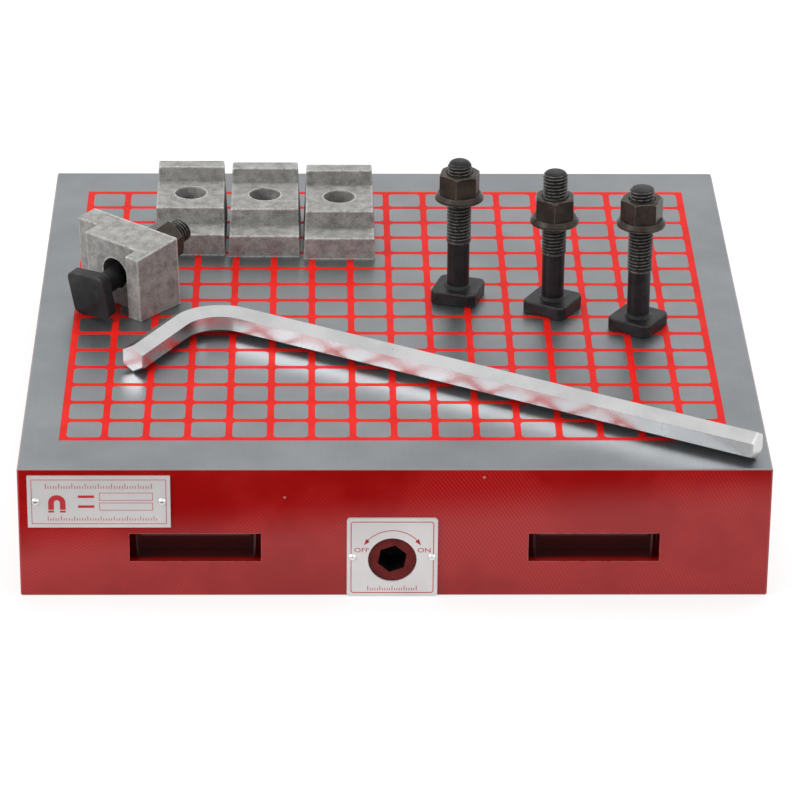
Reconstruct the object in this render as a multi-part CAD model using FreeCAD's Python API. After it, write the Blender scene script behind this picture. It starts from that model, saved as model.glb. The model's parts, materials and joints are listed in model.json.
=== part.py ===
"""Permanent magnetic chuck with its clamping kit.

The chuck is a steel box 400 mm square. A panel of steel poles set in resin fills its
top, and a magnet pack below the panel shifts sideways by half a pole pitch when the
eccentric shaft at the front is turned half a turn. Its kit rests on the working face:
four stepped clamp blocks, four T-bolts with collar nuts, and the hexagon key.

Frame: origin at the centre of the bottom face, +X right, +Y to the back, +Z up, mm.
"""
import FreeCAD, Part
import math
import os

Vec = FreeCAD.Vector
X_AXIS = Vec(1, 0, 0)
Y_AXIS = Vec(0, 1, 0)
Z_AXIS = Vec(0, 0, 1)

# ---------------------------------------------------------------- chuck body
chuck_width = 400.0
chuck_depth = 400.0
chuck_height = 76.0
edge_chamfer = 0.8

# ---------------------------------------------------------------- pole panel
pole_pitch = 22.2
pole_columns = 16
pole_rows = 15
separator_width = 3.7
panel_rim = 3.9
pole_corner_radius = 2.5
panel_thickness = 24.0
panel_centre_y = 2.4
panel_fit = 0.05
pole_fit = 0.02
ledge_width = 6.0

# ---------------------------------------------------------------- base plate and slides
base_thickness = 5.0
base_overlap = 12.0
base_fit = 0.25
base_screws_per_side = 4
strip_thickness = 2.0
strip_width = 14.0
strip_count = 5
strip_end_gap = 8.0
strip_screw_inset = 12.0

# ---------------------------------------------------------------- eccentric shaft
shaft_x = -1.3
shaft_z = 22.3
eccentricity = 5.55
journal_radius = 13.0
nose_radius = 12.7
nose_recess = 1.4
nose_length = 4.0
bush_wall = 2.0
bush_running_fit = 0.03
bush_press_fit = 0.01
bush_setback = 5.9
socket_across_flats = 14.2
socket_depth = 17.0
socket_angle = 20.0
ring_thickness = 1.2
ring_groove_depth = 0.9
ring_outer_radius = 14.6
ring_gap_degrees = 40.0
ring_axial_play = 0.1
o_ring_section_radius = 1.0
o_ring_distance = 22.0
o_ring_groove_play = 0.3
washer_thickness = 1.0
washer_radius = 15.4
washer_fit = 0.2
collar_radius = 16.3
collar_thickness = 4.0
axial_play = 0.05
crank_pin_radius = 6.0
crank_pin_length = 15.0
roller_radius = 10.0
roller_length = 13.6
roller_running_fit = 0.03
roller_end_gap = 0.5
lug_reach = 20.5
lug_half_width = 3.5
stop_pin_radius = 2.0
stop_pin_circle = 18.4
stop_clearance = 0.3
stop_pin_depth = 8.0

# ---------------------------------------------------------------- magnet pack
pole_bar_count = 15
pole_bar_width = 12.2
pack_air_gap = 0.4
slide_gap = 0.05
carrier_thickness = 5.0
tie_bar_thickness = 10.0
pack_back_gap = 3.0
magnets_per_row = 5
magnet_gap = 1.0
yoke_width = 58.0
yoke_thickness = 15.6
yoke_gap = 0.6
yoke_slot_play = 0.25
yoke_top_wall = 6.5
yoke_floor_gap = 0.6
yoke_screw_spacing_x = 42.0
yoke_screw_heights = (18.0, 36.0)
tie_screw_count = 5

# ---------------------------------------------------------------- clamp pockets
pocket_length = 70.0
pocket_height = 16.7
pocket_depth = 15.0
pocket_centre_x = 106.3
pocket_floor_z = 20.8
pocket_corner_radius = 7.0

# ---------------------------------------------------------------- plates on the front
nameplate_length = 75.7
nameplate_height = 30.6
nameplate_thickness = 0.8
nameplate_centre_x = -157.0
nameplate_centre_z = 57.0
nameplate_rivet_spacing = 67.0
dial_size = 48.4
dial_height = 47.0
dial_thickness = 1.2
dial_centre_x = -1.35
dial_centre_z = 23.8
dial_corner_radius = 1.8
dial_hole_radius = 13.0
dial_rivet_spacing = 42.4
rivet_head_radius = 2.1
rivet_head_height = 1.2
rivet_shank_radius = 1.0
rivet_shank_length = 5.0

# ---------------------------------------------------------------- countersunk screws
m5_radius = 2.5
m5_head_radius = 4.9
m5_length = 14.0
m5_key = 3.0
m3_radius = 1.5
m3_head_radius = 2.6
m3_length = 4.6
m3_key = 2.0
screw_sink = 0.3
screw_fit = 0.05
cap_screw_radius = 2.5
cap_head_radius = 4.25
cap_head_height = 5.0
cap_screw_length = 18.0
cap_key = 4.0

# ---------------------------------------------------------------- hexagon key
key_across_flats = 14.0
key_long_arm = 344.3
key_short_arm = 74.2
key_bend_radius = 28.0
key_end_chamfer = 0.9
key_corner_x = -106.3
key_corner_y = -17.9
key_angle = -29.8

# ---------------------------------------------------------------- stepped clamp block
block_width = 42.0
block_draft = 0.05
ledge_height = 13.4
ledge_depth = 15.8
seat_height = 23.8
seat_depth = 39.5
rail_height = 33.0
rail_depth = 9.7
block_edge_radius = 0.8
block_hole_radius = 9.25
block_hole_from_step = 21.9
standing_blocks = ((-116.1, 76.2), (-72.3, 74.0), (-28.4, 70.6))
side_block_angle = -41.0
side_block_corner = (-119.5, 8.1)

# ---------------------------------------------------------------- T-bolt and collar nut
bolt_length = 85.0
bolt_head_size = 26.5
bolt_head_thickness = 7.3
bolt_head_corner = 4.0
bolt_head_edge = 0.6
bolt_shank_radius = 6.35
bolt_neck_rise = 1.6
bolt_thread_radius = 7.0
bolt_thread_start = 35.5
bolt_tip_chamfer = 1.5
bolt_tip_dome = 4.5
head_dimple_radius = 4.2
head_dimple_depth = 1.2
nut_across_flats = 21.0
nut_height = 16.0
nut_flange_radius = 13.75
nut_flange_rim = 1.4
nut_flange_thickness = 3.6
nut_thread_fit = 0.1
nut_mouth_chamfer = 0.8
nut_top_chamfer_angle = 30.0
# standing bolts: centre x, centre y, head angle, nut height above the face, nut angle, domed tip
standing_bolts = (
    (39.3, 18.6, -17.0, 61.6, -11.0, True),
    (92.8, 2.7, -30.0, 54.1, -3.0, False),
    (140.0, -21.2, -33.0, 63.0, -22.0, False),
)
side_bolt_reach = 24.3
side_bolt_tilt = 8.5
side_bolt_yaw = 3.0
side_bolt_roll = -6.0
side_bolt_thread_gap = 0.1
side_nut_travel = 57.5
side_nut_angle = 12.0
kit_rest_gap = 0.02

# ---------------------------------------------------------------- worked-out places
front_y = -chuck_depth / 2
back_y = chuck_depth / 2
pole_side = pole_pitch - separator_width
panel_length = pole_columns * pole_pitch + panel_rim
panel_width = pole_rows * pole_pitch + panel_rim
panel_bottom_z = chuck_height - panel_thickness
cavity_length = panel_length - 2 * ledge_width
cavity_width = panel_width - 2 * ledge_width
cavity_front_y = panel_centre_y - cavity_width / 2
cavity_back_y = panel_centre_y + cavity_width / 2
strip_top_z = base_thickness + strip_thickness
carrier_bottom_z = strip_top_z + slide_gap
carrier_top_z = carrier_bottom_z + carrier_thickness
pack_top_z = panel_bottom_z - pack_air_gap
magnet_width = pole_pitch - pole_bar_width
pack_length = (pole_bar_count - 1) * pole_pitch + pole_bar_width
pack_centre_x = shaft_x - eccentricity
collar_front_y = cavity_front_y + washer_thickness + axial_play
collar_back_y = collar_front_y + collar_thickness
yoke_front_y = collar_back_y + yoke_gap
yoke_back_y = yoke_front_y + yoke_thickness
bars_front_y = yoke_back_y + tie_bar_thickness
pack_back_y = cavity_back_y - pack_back_gap
bars_back_y = pack_back_y - tie_bar_thickness
bars_length = bars_back_y - bars_front_y
nose_y = front_y - dial_thickness + nose_recess
bush_back_y = cavity_front_y
bush_front_y = front_y + bush_setback
bush_inner_radius = journal_radius + bush_running_fit
bush_outer_radius = bush_inner_radius + bush_wall
bore_radius = bush_outer_radius + bush_press_fit
drive_ratio_slack = 0.2105 * eccentricity
block_depth = ledge_depth + seat_depth + rail_depth
block_hole_y = ledge_depth + block_hole_from_step
face_z = chuck_height + kit_rest_gap


# ---------------------------------------------------------------- helpers
def save(name, shape):
    """Write one node to its STEP file."""
    shape.exportStep("parts/" + name + ".step")


def box(x0, x1, y0, y1, z0, z1):
    """A box between two corners."""
    return Part.makeBox(x1 - x0, y1 - y0, z1 - z0, Vec(x0, y0, z0))


def centred_box(cx, cy, length, width, z0, z1):
    """A box centred on (cx, cy)."""
    return box(cx - length / 2, cx + length / 2, cy - width / 2, cy + width / 2, z0, z1)


def rounded_rectangle(length, width, radius):
    """A closed wire centred on the origin, with rounded corners, in the XY plane."""
    a = length / 2
    b = width / 2
    k = radius * (1 - math.sqrt(0.5))
    edges = []
    sides = ((a, b, 0), (-a, b, 90), (-a, -b, 180), (a, -b, 270))
    arcs = []
    for x, y, _ in sides:
        sx = math.copysign(1, x)
        sy = math.copysign(1, y)
        on_y_side = Vec(x, y - sy * radius, 0)
        on_x_side = Vec(x - sx * radius, y, 0)
        middle = Vec(x - sx * k, y - sy * k, 0)
        pair = (on_y_side, on_x_side) if sx * sy > 0 else (on_x_side, on_y_side)
        arcs.append((pair[0], middle, pair[1]))
    for i, arc in enumerate(arcs):
        edges.append(Part.Arc(*arc).toShape())
        edges.append(Part.makeLine(arc[2], arcs[(i + 1) % len(arcs)][0]))
    return Part.Wire(edges)


def moved(shape, x, y, z):
    """A copy of the shape, shifted."""
    copy = shape.copy()
    copy.translate(Vec(x, y, z))
    return copy


def along_y(radius, y0, y1, x, z):
    """A cylinder parallel to the Y axis."""
    return Part.makeCylinder(radius, y1 - y0, Vec(x, y0, z), Y_AXIS)


def hexagon(across_flats, height, angle=0.0):
    """A hexagonal prism on the XY plane, standing on +Z, with a vertex at the angle."""
    radius = across_flats / math.sqrt(3)
    turns = [math.radians(angle + 60 * i) for i in range(7)]
    points = [Vec(radius * math.cos(t), radius * math.sin(t), 0) for t in turns]
    return Part.Face(Part.makePolygon(points)).extrude(Vec(0, 0, height))


def turned_to_y(shape, x, y, z):
    """Take a shape built on +Z and lay its axis along +Y, with its origin at the place."""
    copy = shape.copy()
    copy.rotate(Vec(0, 0, 0), X_AXIS, -90)
    copy.translate(Vec(x, y, z))
    return copy


def spread(count, length):
    """Evenly spaced places along a length, centred on zero, both ends included."""
    return [length * (i / (count - 1) - 0.5) for i in range(count)]


# ---------------------------------------------------------------- fasteners
def countersunk_screw(radius, head_radius, length, key):
    """A flat-head socket screw, its flat head at z=0 and its shank pointing up."""
    cone_height = head_radius - radius
    rim = 0.4
    head = Part.makeCylinder(head_radius, rim)
    cone = Part.makeCone(head_radius, radius, cone_height, Vec(0, 0, rim))
    shank = Part.makeCylinder(radius, length)
    socket = hexagon(key, cone_height)
    return head.fuse(cone).fuse(shank).cut(socket).removeSplitter()


def countersunk_hole(radius, head_radius, length):
    """The hole for that screw: head sunk below the face and a fit all round."""
    hole_radius = radius + screw_fit
    mouth_radius = head_radius + screw_fit
    straight = screw_sink + 0.4 + screw_fit
    mouth = Part.makeCylinder(mouth_radius, straight + 1, Vec(0, 0, -1))
    cone = Part.makeCone(mouth_radius, hole_radius, head_radius - radius, Vec(0, 0, straight))
    shank = Part.makeCylinder(hole_radius, length + screw_sink + screw_fit)
    return mouth.fuse(cone).fuse(shank)


def cap_screw():
    """A socket cap screw, its head below z=0 and its shank pointing up."""
    head = Part.makeCylinder(cap_head_radius, cap_head_height, Vec(0, 0, -cap_head_height))
    shank = Part.makeCylinder(cap_screw_radius, cap_screw_length)
    socket = moved(hexagon(cap_key, cap_head_height / 2), 0, 0, -cap_head_height)
    return head.fuse(shank).cut(socket).removeSplitter()


def rivet():
    """A drive rivet along +Y: a domed head before y=0 and a plain shank behind it."""
    sphere_radius = (rivet_head_radius ** 2 + rivet_head_height ** 2) / (2 * rivet_head_height)
    ball = Part.makeSphere(sphere_radius, Vec(0, 0, rivet_head_height - sphere_radius))
    dome = ball.common(Part.makeCylinder(rivet_head_radius, rivet_head_height))
    dome.rotate(Vec(0, 0, 0), X_AXIS, 90)
    return dome.fuse(along_y(rivet_shank_radius, 0, rivet_shank_length, 0, 0)).removeSplitter()


# ---------------------------------------------------------------- places that pieces share
def base_screw_places():
    """Centres of the base plate's screws, on the shelf round the cavity."""
    x_line = cavity_length / 2 + base_overlap / 2
    y_line = cavity_width / 2 + base_overlap / 2
    xs = spread(base_screws_per_side, 2 * x_line)
    ys = spread(base_screws_per_side, 2 * y_line)
    places = [(x, panel_centre_y + side * y_line) for x in xs for side in (-1, 1)]
    places += [(side * x_line, panel_centre_y + y) for y in ys[1:-1] for side in (-1, 1)]
    return places


def strip_places():
    """Centre lines of the brass slide strips along X: their y values."""
    reach = bars_length - strip_width
    return [(bars_front_y + bars_back_y) / 2 + y for y in spread(strip_count, reach)]


def strip_length():
    return cavity_length - 2 * strip_end_gap


def strip_screw_places():
    """Two screws in each slide strip, past both ends of the pack's travel."""
    x = strip_length() / 2 - strip_screw_inset / 2
    return [(side * x, y) for y in strip_places() for side in (-1, 1)]


def tie_screw_places():
    """Screws through the carrier into both tie bars."""
    xs = [pack_centre_x + x for x in spread(tie_screw_count, pack_length - 4 * tie_bar_thickness)]
    ys = (bars_front_y - tie_bar_thickness / 2, bars_back_y + tie_bar_thickness / 2)
    return [(x, y) for x in xs for y in ys]


def yoke_screw_places():
    """Screws through the drive yoke into the front tie bar: their x and z."""
    xs = (pack_centre_x - yoke_screw_spacing_x / 2, pack_centre_x + yoke_screw_spacing_x / 2)
    return [(x, z) for x in xs for z in yoke_screw_heights]


def rivet_places(centre_x, spacing):
    return (centre_x - spacing / 2, centre_x + spacing / 2)


# ---------------------------------------------------------------- housing
def clamp_pocket():
    """One clamp pocket, opening towards -Y at y=0, cut into +Y: rounded in plan."""
    over = 2 * pocket_corner_radius
    plan = rounded_rectangle(pocket_length, 2 * pocket_depth, pocket_corner_radius)
    body = Part.Face(plan).extrude(Vec(0, 0, pocket_height))
    mouth = centred_box(0, -over, pocket_length, 2 * over, 0, pocket_height)
    return body.fuse(mouth)


def make_housing():
    """The one-piece steel frame, open above for the panel and below for the pack."""
    block = centred_box(0, 0, chuck_width, chuck_depth, 0, chuck_height)
    block = block.makeChamfer(edge_chamfer, block.Edges)
    window = centred_box(0, panel_centre_y, panel_length + 2 * panel_fit,
                         panel_width + 2 * panel_fit, panel_bottom_z, chuck_height + 1)
    cavity = centred_box(0, panel_centre_y, cavity_length, cavity_width, -1, panel_bottom_z + 1)
    rabbet = centred_box(0, panel_centre_y, cavity_length + 2 * base_overlap,
                         cavity_width + 2 * base_overlap, -1, base_thickness)
    frame = block.cut([window, cavity, rabbet])
    pocket = clamp_pocket()
    back_pocket = pocket.copy()
    back_pocket.rotate(Vec(0, 0, 0), Z_AXIS, 180)
    cuts = []
    for side in (-1, 1):
        cuts.append(moved(pocket, side * pocket_centre_x, front_y, pocket_floor_z))
        cuts.append(moved(back_pocket, side * pocket_centre_x, back_y, pocket_floor_z))
    cuts.append(along_y(bore_radius, front_y - 1, cavity_front_y + 1, shaft_x, shaft_z))
    screw_hole = Part.makeCylinder(m5_radius + screw_fit, m5_length + screw_sink)
    for x, y in base_screw_places():
        cuts.append(moved(screw_hole, x, y, 0))
    for x, z in stop_pin_places():
        start = cavity_front_y - stop_pin_depth
        cuts.append(along_y(stop_pin_radius + screw_fit, start, cavity_front_y + 1, x, z))
    rivet_hole = along_y(rivet_shank_radius + screw_fit, front_y - 1, front_y + rivet_shank_length, 0, 0)
    for x in rivet_places(nameplate_centre_x, nameplate_rivet_spacing):
        cuts.append(moved(rivet_hole, x, 0, nameplate_centre_z))
    for x in rivet_places(dial_centre_x, dial_rivet_spacing):
        cuts.append(moved(rivet_hole, x, 0, dial_centre_z))
    return frame.cut(cuts)


# ---------------------------------------------------------------- pole panel
def pole_places():
    xs = spread(pole_columns, (pole_columns - 1) * pole_pitch)
    ys = [panel_centre_y + y for y in spread(pole_rows, (pole_rows - 1) * pole_pitch)]
    return [(x, y) for y in ys for x in xs]


def make_resin_grid():
    """The cast resin between the poles: a plate with one window for each pole."""
    a = panel_length / 2
    b = panel_width / 2
    corners = [Vec(-a, panel_centre_y - b, 0), Vec(a, panel_centre_y - b, 0),
               Vec(a, panel_centre_y + b, 0), Vec(-a, panel_centre_y + b, 0)]
    outline = Part.makePolygon(corners + corners[:1])
    window = rounded_rectangle(pole_side, pole_side, pole_corner_radius)
    holes = [moved(window, x, y, 0) for x, y in pole_places()]
    face = Part.Face([outline] + holes)
    face.translate(Vec(0, 0, panel_bottom_z))
    return face.extrude(Vec(0, 0, panel_thickness))


def make_pole_blocks():
    """The steel poles, one in each window, flush with the working face."""
    side = pole_side - 2 * pole_fit
    wire = rounded_rectangle(side, side, pole_corner_radius - pole_fit)
    pole = Part.Face(wire).extrude(Vec(0, 0, panel_thickness))
    return Part.makeCompound([moved(pole, x, y, panel_bottom_z) for x, y in pole_places()])


# ---------------------------------------------------------------- base plate and slides
def make_base_plate():
    """The bottom cover in its rabbet, with the slide strips' screw holes."""
    length = cavity_length + 2 * (base_overlap - base_fit)
    width = cavity_width + 2 * (base_overlap - base_fit)
    plate = centred_box(0, panel_centre_y, length, width, 0, base_thickness)
    hole = countersunk_hole(m5_radius, m5_head_radius, base_thickness)
    cuts = [moved(hole, x, y, 0) for x, y in base_screw_places()]
    tapped = Part.makeCylinder(m3_radius + screw_fit, base_thickness)
    strip_hole_z = strip_top_z - screw_sink - m3_length - screw_fit
    cuts += [moved(tapped, x, y, strip_hole_z) for x, y in strip_screw_places()]
    return plate.cut(cuts)


def make_base_screws():
    screw = countersunk_screw(m5_radius, m5_head_radius, m5_length, m5_key)
    return Part.makeCompound([moved(screw, x, y, screw_sink) for x, y in base_screw_places()])


def make_slide_strips():
    """Brass strips on the base plate that carry the magnet pack."""
    length = strip_length()
    hole = countersunk_hole(m3_radius, m3_head_radius, strip_thickness)
    hole.rotate(Vec(0, 0, 0), X_AXIS, 180)
    strips = []
    for y in strip_places():
        strip = centred_box(0, y, length, strip_width, base_thickness, strip_top_z)
        mine = [place for place in strip_screw_places() if place[1] == y]
        strips.append(strip.cut([moved(hole, px, py, strip_top_z) for px, py in mine]))
    return Part.makeCompound(strips)


def make_strip_screws():
    screw = countersunk_screw(m3_radius, m3_head_radius, m3_length, m3_key)
    screw.rotate(Vec(0, 0, 0), X_AXIS, 180)
    z = strip_top_z - screw_sink
    return Part.makeCompound([moved(screw, x, y, z) for x, y in strip_screw_places()])


# ---------------------------------------------------------------- eccentric shaft
def make_shaft_bush():
    outer = along_y(bush_outer_radius, bush_front_y, bush_back_y, shaft_x, shaft_z)
    return outer.cut(along_y(bush_inner_radius, bush_front_y, bush_back_y, shaft_x, shaft_z))


def make_thrust_washer():
    y1 = cavity_front_y + washer_thickness
    disc = along_y(washer_radius, cavity_front_y, y1, shaft_x, shaft_z)
    return disc.cut(along_y(journal_radius + washer_fit, cavity_front_y, y1, shaft_x, shaft_z))


def stop_pin_places():
    """Two pins below the shaft's level that the collar's lug meets at OFF and at ON."""
    reach = lug_half_width + stop_pin_radius + stop_clearance
    drop = math.asin(reach / stop_pin_circle)
    z = shaft_z - stop_pin_circle * math.sin(drop)
    across = stop_pin_circle * math.cos(drop)
    return [(shaft_x - across, z), (shaft_x + across, z)]


def make_stop_pins():
    y0 = cavity_front_y - stop_pin_depth
    y1 = collar_back_y - stop_clearance
    return Part.makeCompound([along_y(stop_pin_radius, y0, y1, x, z) for x, z in stop_pin_places()])


def ring_groove():
    """Front and back of the retaining ring's groove, just before the bush."""
    back = bush_front_y
    return back - ring_thickness - 2 * ring_axial_play, back


def o_ring_y():
    return nose_y + o_ring_distance


def make_eccentric_shaft():
    """Nose, journal, collar with its stop lug, and the crank pin, all in one piece."""
    nose = along_y(nose_radius, nose_y, nose_y + nose_length, shaft_x, shaft_z)
    journal = along_y(journal_radius, nose_y + nose_length, collar_front_y, shaft_x, shaft_z)
    collar = along_y(collar_radius, collar_front_y, collar_back_y, shaft_x, shaft_z)
    lug = box(shaft_x - lug_reach, shaft_x, collar_front_y, collar_back_y,
              shaft_z - lug_half_width, shaft_z + lug_half_width)
    pin = along_y(crank_pin_radius, collar_back_y, collar_back_y + crank_pin_length,
                  shaft_x - eccentricity, shaft_z)
    shaft = nose.fuse([journal, collar, lug, pin])
    socket = hexagon(socket_across_flats, socket_depth, -socket_angle)
    socket = turned_to_y(socket, shaft_x, nose_y, shaft_z)
    y0, y1 = ring_groove()
    ring_cut = along_y(journal_radius + 1, y0, y1, shaft_x, shaft_z)
    ring_cut = ring_cut.cut(along_y(journal_radius - ring_groove_depth, y0, y1, shaft_x, shaft_z))
    half = o_ring_section_radius + o_ring_groove_play
    y0 = o_ring_y() - half
    y1 = o_ring_y() + half
    seal_cut = along_y(journal_radius + 1, y0, y1, shaft_x, shaft_z)
    seal_core = journal_radius - 2 * o_ring_section_radius
    seal_cut = seal_cut.cut(along_y(seal_core, y0, y1, shaft_x, shaft_z))
    return shaft.cut([socket, ring_cut, seal_cut]).removeSplitter()


def make_o_ring():
    middle = journal_radius - o_ring_section_radius
    return Part.makeTorus(middle, o_ring_section_radius, Vec(shaft_x, o_ring_y(), shaft_z), Y_AXIS)


def make_retaining_ring():
    """A C-shaped ring in the shaft's groove, its gap towards the top."""
    y0, y1 = ring_groove()
    y0 += ring_axial_play
    y1 -= ring_axial_play
    inner = journal_radius - ring_groove_depth + screw_fit
    ring = along_y(ring_outer_radius, y0, y1, shaft_x, shaft_z)
    ring = ring.cut(along_y(inner, y0, y1, shaft_x, shaft_z))
    gap = 2 * ring_outer_radius * math.sin(math.radians(ring_gap_degrees / 2))
    opening = box(shaft_x - gap / 2, shaft_x + gap / 2, y0, y1, shaft_z, shaft_z + ring_outer_radius + 1)
    return ring.cut(opening)


def make_crank_roller():
    y0 = collar_back_y + yoke_gap + roller_end_gap
    x = shaft_x - eccentricity
    outer = along_y(roller_radius, y0, y0 + roller_length, x, shaft_z)
    return outer.cut(along_y(crank_pin_radius + roller_running_fit, y0, y0 + roller_length, x, shaft_z))


# ---------------------------------------------------------------- magnet pack
def make_pack_carrier():
    """The plate under the pack, with countersunk holes for the tie bars' screws."""
    y0 = bars_front_y - tie_bar_thickness
    y1 = pack_back_y
    a = pack_length / 2
    plate = box(pack_centre_x - a, pack_centre_x + a, y0, y1, carrier_bottom_z, carrier_top_z)
    hole = countersunk_hole(m5_radius, m5_head_radius, carrier_thickness)
    return plate.cut([moved(hole, x, y, carrier_bottom_z) for x, y in tie_screw_places()])


def make_tie_bar_screws():
    screw = countersunk_screw(m5_radius, m5_head_radius, m5_length, m5_key)
    z = carrier_bottom_z + screw_sink
    return Part.makeCompound([moved(screw, x, y, z) for x, y in tie_screw_places()])


def make_pack_tie_bars():
    """Front and back bars that close the pack, tapped for their screws."""
    a = pack_length / 2
    tapped = Part.makeCylinder(m5_radius + screw_fit, m5_length + screw_fit)
    up = [moved(tapped, x, y, carrier_bottom_z + screw_sink) for x, y in tie_screw_places()]
    front = box(pack_centre_x - a, pack_centre_x + a, yoke_back_y, bars_front_y, carrier_top_z, pack_top_z)
    back = box(pack_centre_x - a, pack_centre_x + a, bars_back_y, pack_back_y, carrier_top_z, pack_top_z)
    depth = cap_screw_length - (yoke_thickness - cap_head_height)
    for x, z in yoke_screw_places():
        up.append(along_y(cap_screw_radius + screw_fit, yoke_back_y, yoke_back_y + depth + screw_fit, x, z))
    return Part.makeCompound([front.cut(up), back.cut(up)])


def pole_bar_centres():
    return [pack_centre_x + x for x in spread(pole_bar_count, (pole_bar_count - 1) * pole_pitch)]


def make_pack_pole_bars():
    y = (bars_front_y + bars_back_y) / 2
    bars = []
    for x in pole_bar_centres():
        bars.append(centred_box(x, y, pole_bar_width, bars_length, carrier_top_z, pack_top_z))
    return Part.makeCompound(bars)


def make_pack_magnets():
    """Magnet blocks between the pole bars, a row of them in each gap."""
    length = (bars_length - (magnets_per_row + 1) * magnet_gap) / magnets_per_row
    first = bars_front_y + magnet_gap
    magnets = []
    for left in pole_bar_centres()[:-1]:
        x = left + pole_pitch / 2
        for i in range(magnets_per_row):
            y0 = first + i * (length + magnet_gap)
            magnets.append(box(x - magnet_width / 2, x + magnet_width / 2, y0, y0 + length,
                               carrier_top_z, pack_top_z))
    return Part.makeCompound(magnets)


def make_drive_yoke():
    """The fork on the front tie bar. The roller on the crank pin works in its slot."""
    a = yoke_width / 2
    slot_half = roller_radius + drive_ratio_slack + yoke_slot_play
    slot_top = shaft_z + eccentricity + roller_radius + yoke_slot_play
    bottom = strip_top_z + yoke_floor_gap
    fork = box(pack_centre_x - a, pack_centre_x + a, yoke_front_y, yoke_back_y,
               bottom, slot_top + yoke_top_wall)
    cuts = [box(pack_centre_x - slot_half, pack_centre_x + slot_half, yoke_front_y, yoke_back_y,
                bottom, slot_top)]
    for x, z in yoke_screw_places():
        cuts.append(along_y(cap_screw_radius + screw_fit, yoke_front_y, yoke_back_y, x, z))
        head_room = cap_head_height + screw_fit
        cuts.append(along_y(cap_head_radius + screw_fit, yoke_front_y, yoke_front_y + head_room, x, z))
    return fork.cut(cuts)


def make_yoke_screws():
    screws = []
    for x, z in yoke_screw_places():
        screws.append(turned_to_y(cap_screw(), x, yoke_front_y + cap_head_height, z))
    return Part.makeCompound(screws)


# ---------------------------------------------------------------- plates and rivets
def make_nameplate():
    a = nameplate_length / 2
    b = nameplate_height / 2
    plate = box(nameplate_centre_x - a, nameplate_centre_x + a, front_y - nameplate_thickness, front_y,
                nameplate_centre_z - b, nameplate_centre_z + b)
    hole = along_y(rivet_shank_radius + screw_fit, front_y - nameplate_thickness, front_y, 0, 0)
    places = rivet_places(nameplate_centre_x, nameplate_rivet_spacing)
    return plate.cut([moved(hole, x, 0, nameplate_centre_z) for x in places])


def make_dial_plate():
    """The switch plate round the shaft's nose."""
    outline = rounded_rectangle(dial_size, dial_height, dial_corner_radius)
    plate = Part.Face(outline).extrude(Vec(0, 0, dial_thickness))
    plate = turned_to_y(plate, dial_centre_x, front_y - dial_thickness, dial_centre_z)
    cuts = [along_y(dial_hole_radius, front_y - dial_thickness, front_y, shaft_x, shaft_z)]
    for x in rivet_places(dial_centre_x, dial_rivet_spacing):
        cuts.append(along_y(rivet_shank_radius + screw_fit, front_y - dial_thickness, front_y,
                            x, dial_centre_z))
    return plate.cut(cuts)


def make_rivets(centre_x, centre_z, spacing, plate_thickness):
    pieces = []
    for x in rivet_places(centre_x, spacing):
        pieces.append(moved(rivet(), x, front_y - plate_thickness, centre_z))
    return Part.makeCompound(pieces)


# ---------------------------------------------------------------- hexagon key
def make_hex_key():
    """An L-shaped key lying on its side, resting on one row of its edges."""
    corner_radius = key_across_flats / math.sqrt(3)
    r = key_bend_radius
    k = r * (1 - math.sqrt(0.5))
    start = Vec(key_long_arm, 0, 0)
    bend_in = Vec(r, 0, 0)
    bend_out = Vec(0, -r, 0)
    path = Part.Wire([Part.makeLine(start, bend_in),
                      Part.Arc(bend_in, Vec(k, -k, 0), bend_out).toShape(),
                      Part.makeLine(bend_out, Vec(0, -key_short_arm, 0))])
    turns = [math.radians(90 + 60 * i) for i in range(7)]
    ring = [Vec(key_long_arm, corner_radius * math.cos(t), corner_radius * math.sin(t)) for t in turns]
    bar = path.makePipeShell([Part.makePolygon(ring)], True, True)
    if bar.Volume < 0:
        bar.reverse()
    ends = [edge for edge in bar.Edges
            if edge.Length < key_across_flats and edge.BoundBox.XLength + edge.BoundBox.YLength
            < key_across_flats and on_key_end(edge)]
    bar = bar.makeChamfer(key_end_chamfer, ends)
    bar.rotate(Vec(0, 0, 0), Z_AXIS, key_angle)
    bar.translate(Vec(key_corner_x, key_corner_y, face_z + corner_radius))
    return bar


def on_key_end(edge):
    """True for the edges of the key's two end faces, before it is turned."""
    middle = edge.BoundBox.Center
    return abs(middle.x - key_long_arm) < 1e-3 or abs(middle.y + key_short_arm) < 1e-3


# ---------------------------------------------------------------- clamp blocks
def clamp_block():
    """A stepped block: ledge, seat with its bolt hole, and rail, on a flat underside."""
    y_seat = ledge_depth
    y_rail = ledge_depth + seat_depth
    outline = [Vec(0, 0, 0), Vec(0, block_depth, 0), Vec(0, block_depth, rail_height),
               Vec(0, y_rail, rail_height), Vec(0, y_rail, seat_height), Vec(0, y_seat, seat_height),
               Vec(0, y_seat, ledge_height), Vec(0, 0, ledge_height)]
    steps = Part.Face(Part.makePolygon(outline + outline[:1])).extrude(Vec(block_width, 0, 0))
    steps.translate(Vec(-block_width / 2, 0, 0))
    low = block_width / 2
    high = low - block_draft * rail_height
    section = [Vec(-low, 0, 0), Vec(low, 0, 0), Vec(high, 0, rail_height), Vec(-high, 0, rail_height)]
    taper = Part.Face(Part.makePolygon(section + section[:1])).extrude(Vec(0, block_depth, 0))
    body = steps.common(taper)
    body = body.makeFillet(block_edge_radius, [edge for edge in body.Edges if is_outer_edge(edge)])
    return body.cut(Part.makeCylinder(block_hole_radius, rail_height, Vec(0, block_hole_y, 0)))


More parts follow.
